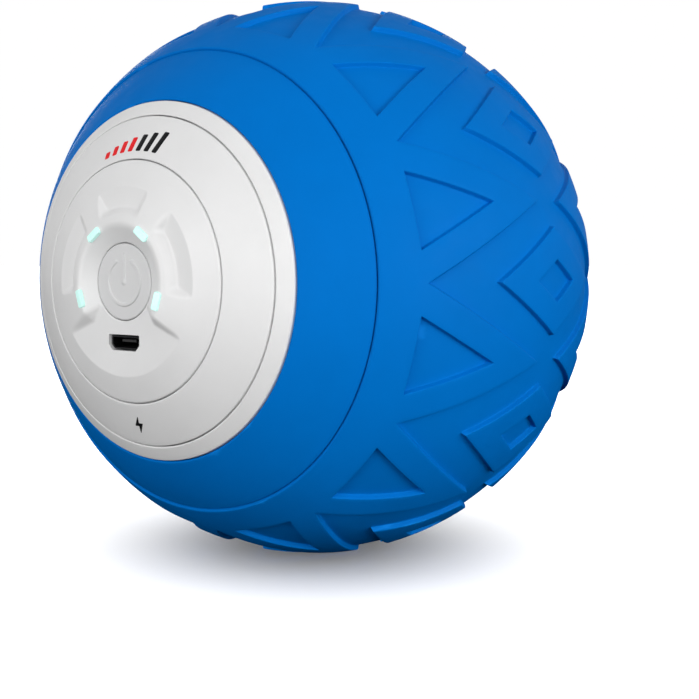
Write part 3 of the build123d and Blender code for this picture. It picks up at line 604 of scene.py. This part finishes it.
class Surface:
    """Small helper round one principled material, so that each finish below reads as a recipe."""

    def __init__(self, name, colour, roughness, **constants):
        self.material = bpy.data.materials.new(name)
        self.material.use_nodes = True
        self.nodes, self.links = self.material.node_tree.nodes, self.material.node_tree.links
        self.shader = self.nodes["Principled BSDF"]
        self.shader.inputs["Base Color"].default_value = (*colour, 1)
        self.shader.inputs["Roughness"].default_value = roughness
        for key, value in constants.items():
            self.shader.inputs[key.replace("_", " ").title().replace("Ior", "IOR")].default_value = value
        self.place = self.nodes.new("ShaderNodeTexCoord").outputs["Object"]
        self.normal = None

    def noise(self, scale, detail=4.0, roughness=0.55):
        node = self.nodes.new("ShaderNodeTexNoise")
        node.inputs["Scale"].default_value = scale
        node.inputs["Detail"].default_value = detail
        node.inputs["Roughness"].default_value = roughness
        self.links.new(self.place, node.inputs["Vector"])
        return node.outputs["Fac"]

    def ramp(self, value, low, high, dark, light):
        node = self.nodes.new("ShaderNodeMapRange")
        node.inputs["From Min"].default_value = low
        node.inputs["From Max"].default_value = high
        node.inputs["To Min"].default_value = dark
        node.inputs["To Max"].default_value = light
        self.links.new(value, node.inputs["Value"])
        return node.outputs["Result"]

    def vary_roughness(self, value, smooth, rough):
        self.links.new(self.ramp(value, *NOISE_SPAN, smooth, rough), self.shader.inputs["Roughness"])

    def tint(self, factor, first, second):
        """Colour that goes from the first to the second as the factor grows."""
        node = self.nodes.new("ShaderNodeMix")
        node.data_type = "RGBA"
        self.links.new(factor, node.inputs["Factor"])
        for key, colour in ((6, first), (7, second)):
            if isinstance(colour, tuple):
                node.inputs[key].default_value = (*colour, 1)
            else:
                self.links.new(colour, node.inputs[key])
        self.links.new(node.outputs[2], self.shader.inputs["Base Color"])
        return node.outputs[2]

    def bump(self, value, strength, distance):
        node = self.nodes.new("ShaderNodeBump")
        node.inputs["Strength"].default_value = strength
        node.inputs["Distance"].default_value = distance
        self.links.new(value, node.inputs["Height"])
        if self.normal:
            self.links.new(self.normal, node.inputs["Normal"])
        self.normal = node.outputs["Normal"]
        self.links.new(self.normal, self.shader.inputs["Normal"])

    def edge_highlight_share(self, low, high):
        """Share that grows on sharp outward edges, the mask for a painted highlight."""
        geometry = self.nodes.new("ShaderNodeNewGeometry")
        return self.ramp(geometry.outputs["Pointiness"], low, high, 0, 1)

    def wear(self, *pieces):
        for piece in pieces:
            piece.data.materials.clear()
            piece.data.materials.append(self.material)
        return self


# The second blue is a painted highlight, used on sharp edges.
BLUE, BLUE_EDGE_HIGHLIGHT = (0.0, 0.158, 0.56), (0.003, 0.2, 0.66)


def silicone(name):
    """Matte moulded silicone: a fine powdery grain, faint mottling and paler edges, a painted highlight.
    """
    skin = Surface(name, BLUE, 0.5, specular_ior_level=0.02)
    deeper = tuple(c * 0.93 for c in BLUE)
    ground = skin.tint(skin.ramp(skin.noise(55, 5, 0.6), *NOISE_SPAN, 0, 1), deeper, BLUE)
    # Painted highlight: sharp outward edges are made a paler blue.
    skin.tint(skin.edge_highlight_share(0.53, 0.60), ground, BLUE_EDGE_HIGHLIGHT)
    skin.vary_roughness(skin.noise(240, 4), 0.44, 0.58)
    skin.bump(skin.noise(90, 3), 0.12, 0.0004)
    skin.bump(skin.noise(5200, 3, 0.6), 0.22, 0.00005)
    return skin


def moulded(name, colour, smooth=0.34, rough=0.46, grain=3600, depth=0.16):
    """Hard moulded plastic with a spark-eroded grain and slight unevenness."""
    skin = Surface(name, colour, (smooth + rough) / 2)
    darker = tuple(c * 0.955 for c in colour)
    skin.tint(skin.ramp(skin.noise(70, 4), *NOISE_SPAN, 0, 1), darker, colour)
    skin.vary_roughness(skin.noise(320, 4), smooth, rough)
    skin.bump(skin.noise(60, 2), 0.05, 0.0004)
    skin.bump(skin.noise(grain, 3, 0.6), depth, 0.00004)
    return skin


def metal(name, colour, smooth=0.25, rough=0.42, grain=900):
    """Plated or rolled metal with uneven shine and a fine grain."""
    skin = Surface(name, colour, rough, metallic=1.0)
    skin.tint(skin.ramp(skin.noise(200, 5), *NOISE_SPAN, 0, 1), tuple(c * 0.85 for c in colour), colour)
    skin.vary_roughness(skin.noise(grain, 5), smooth, rough)
    skin.bump(skin.noise(grain * 2, 3), 0.1, 0.00004)
    return skin


def glowing(name, colour, strength):
    """Frosted lamp window, lit from behind and a little brighter where the grain is thin."""
    skin = Surface(name, colour, 0.3, emission_strength=strength)
    grain = skin.ramp(skin.noise(1500, 3), *NOISE_SPAN, 0, 1)
    lit = skin.tint(grain, tuple(c * 0.9 for c in colour), colour)
    skin.links.new(lit, skin.shader.inputs["Emission Color"])
    skin.bump(skin.noise(2500, 2), 0.1, 0.00004)
    return skin


def ink(name, colour):
    """Printed ink, a little uneven in cover and shine."""
    skin = Surface(name, colour, 0.5, specular_ior_level=0.2)
    thin = tuple(c * 0.85 + 0.004 for c in colour)
    skin.tint(skin.ramp(skin.noise(900, 4), 0.35, 0.75, 0, 1), colour, thin)
    skin.vary_roughness(skin.noise(700, 3), 0.35, 0.5)
    skin.bump(skin.noise(3000, 2), 0.1, 0.00002)
    return skin


# ---- the pieces and their finishes --------------------------------------------------------------
tread = make_tread_sleeve()
collars = make_collars()
rings = make_cap_rings()
panel = make_control_panel()
button = make_power_button()
levels = make_level_marks()
charge = make_charge_mark()

silicone("tread_silicone").wear(tread)
silicone("collar_silicone").wear(*collars)
moulded("cap_plastic", (0.78, 0.78, 0.782)).wear(*rings, panel)
# Painted shade: the button is the same plastic as the cap, given a darker grey for its less lit flat
# face.
moulded("button_plastic", (0.68, 0.68, 0.685), 0.4, 0.52).wear(button)
ink("red_ink", (0.80, 0.01, 0.015)).wear(*levels[:4])
ink("black_ink", (0.004, 0.004, 0.005)).wear(charge, *levels[4:])

slot_of = {part["node"]: part["material_slot"] for part in frame["record"]["subparts"]}
FINISHES = {
    "lamp_lens": glowing("lamp_glow", (0.55, 0.86, 0.80), 0.42),
    # Painted shade: the socket's metal is made nearly black, for the shade inside the charging opening.
    "socket_metal": metal("socket_plate", (0.03, 0.03, 0.032), 0.45, 0.6),
    "black_plastic": moulded("black_plastic", (0.006, 0.006, 0.007), 0.5, 0.65),
    "core_plastic": moulded("core_plastic", (0.05, 0.05, 0.055), 0.45, 0.6),
    "steel": metal("zinc_steel", (0.60, 0.60, 0.62)),
    "soft_rubber": moulded("soft_rubber", (0.02, 0.02, 0.02), 0.6, 0.75, 2400, 0.3),
    "bronze": metal("bronze", (0.70, 0.42, 0.20)),
    "board_green": moulded("board_green", (0.015, 0.12, 0.04), 0.25, 0.35),
    "lamp_chip": glowing("chip_glow", (0.85, 1.0, 0.92), 1.5),
    "cell_sleeve": moulded("cell_sleeve", (0.03, 0.12, 0.28), 0.25, 0.35),
    "wire_red": moulded("wire_red", (0.45, 0.01, 0.01)),
    "wire_black": moulded("wire_black", (0.012, 0.012, 0.012)),
}
for name, node in frame["nodes"].items():
    finish = FINISHES.get(slot_of[name])
    if finish:
        finish.wear(node)


# ---- studio -------------------------------------------------------------------------------------
AZIMUTH, ELEVATION = radians(38.34), radians(1.13)
CAMERA_DISTANCE = 0.2687        # metres, as are the studio's other lengths
LIGHT_DISTANCE = 0.9
toward = Vector((sin(AZIMUTH) * cos(ELEVATION), -cos(AZIMUTH) * cos(ELEVATION), sin(ELEVATION)))
right = Vector((cos(AZIMUTH), sin(AZIMUTH), 0))
up = toward.cross(right)


def make_camera():
    """Camera at the photo's angle and distance, with its lens and the same crop."""
    data = bpy.data.cameras.new("camera")
    data.lens, data.sensor_width = 62.15, 36
    data.shift_x, data.shift_y = 0.0516, -0.1037
    data.clip_start = 0.01
    camera = bpy.data.objects.new("camera", data)
    camera.location = toward * CAMERA_DISTANCE
    camera.rotation_euler = toward.to_track_quat("Z", "Y").to_euler()
    bpy.context.scene.collection.objects.link(camera)
    bpy.context.scene.camera = camera


def make_floor():
    """Pale seamless floor that the ball stands on. It shades the lights but throws none back."""
    half, level = 40.0, cad_box[0][2]
    corners = [(-half, -half, level), (half, -half, level), (half, half, level), (-half, half, level)]
    mesh = bpy.data.meshes.new("floor")
    mesh.from_pydata(corners, [], [(0, 1, 2, 3)])
    floor = bpy.data.objects.new("floor", mesh)
    bpy.context.scene.collection.objects.link(floor)
    paper = Surface("floor_paper", (0.9, 0.9, 0.9), 0.8, emission_strength=0.12)
    paper.shader.inputs["Emission Color"].default_value = (1, 1, 1, 1)
    paper.bump(paper.noise(400, 3), 0.02, 0.0005)
    paper.wear(floor)
    floor.visible_diffuse = False
    floor.visible_glossy = False
    return floor


def make_backdrop():
    """Far white shell all round, which only the camera sees."""
    radius = 6.0
    shell = bmesh.new()
    bmesh.ops.create_icosphere(shell, subdivisions=3, radius=radius)
    mesh = bpy.data.meshes.new("backdrop")
    shell.to_mesh(mesh)
    shell.free()
    backdrop = bpy.data.objects.new("backdrop", mesh)
    bpy.context.scene.collection.objects.link(backdrop)
    paper = Surface("backdrop_paper", (0, 0, 0), 1.0, emission_strength=1.0)
    paper.shader.inputs["Emission Color"].default_value = (1, 1, 1, 1)
    paper.wear(backdrop)
    for kind in ("diffuse", "glossy", "transmission", "shadow"):
        setattr(backdrop, f"visible_{kind}", False)


def make_world():
    """Soft light from above the horizon only, which keeps the ball's underside dark."""
    world = bpy.data.worlds.new("studio")
    world.use_nodes = True
    nodes, links = world.node_tree.nodes, world.node_tree.links
    split = nodes.new("ShaderNodeSeparateXYZ")
    links.new(nodes.new("ShaderNodeTexCoord").outputs["Generated"], split.inputs["Vector"])
    fade = nodes.new("ShaderNodeMapRange")
    for key, value in (("From Min", -0.05), ("From Max", 0.05), ("To Min", 0.0), ("To Max", 0.44)):
        fade.inputs[key].default_value = value
    links.new(split.outputs["Z"], fade.inputs["Value"])
    nodes["Background"].inputs["Color"].default_value = (1, 1, 1, 1)
    links.new(fade.outputs["Result"], nodes["Background"].inputs["Strength"])
    bpy.context.scene.world = world


def aim(light, direction, distance):
    """Puts a light in a direction from the ball's centre, facing the ball."""
    light.location = direction * distance
    light.rotation_euler = direction.to_track_quat("Z", "Y").to_euler()
    bpy.context.scene.collection.objects.link(light)


def soft_light(name, side, high, near, size, power, floor):
    """Square soft light on the ball alone, from a direction in the camera's right, up and near."""
    data = bpy.data.lights.new(name, "AREA")
    data.shape, data.size, data.energy = "SQUARE", size, power
    light = bpy.data.objects.new(name, data)
    aim(light, (right * side + up * high + toward * near).normalized(), LIGHT_DISTANCE)
    lit = bpy.data.collections.new(name)
    light.light_linking.receiver_collection = lit
    lit.objects.link(floor)
    lit.collection_objects[0].light_linking.link_state = "EXCLUDE"


def floor_light(power, spread, floor):
    """Very soft light from overhead on the floor alone, for the shadow under the ball."""
    data = bpy.data.lights.new("floor_light", "SUN")
    data.energy, data.angle = power, radians(spread)
    light = bpy.data.objects.new("floor_light", data)
    lean = 0.35
    aim(light, (up + toward * lean).normalized(), 1.0)
    lit = bpy.data.collections.new("floor_light")
    light.light_linking.receiver_collection = lit
    lit.objects.link(floor)


make_camera()
floor = make_floor()
make_backdrop()
make_world()
soft_light("key", side=0.79, high=0.02, near=0.61, size=0.7, power=7.6, floor=floor)
soft_light("front", side=-0.20, high=0.0, near=1.0, size=0.7, power=3.4, floor=floor)
soft_light("left", side=-0.80, high=0.0, near=0.60, size=0.5, power=4.6, floor=floor)
soft_light("back", side=-0.1, high=0.12, near=-1.0, size=0.6, power=5.0, floor=floor)
floor_light(power=5.3, spread=130, floor=floor)
bpy.context.scene.view_settings.view_transform = "Standard"
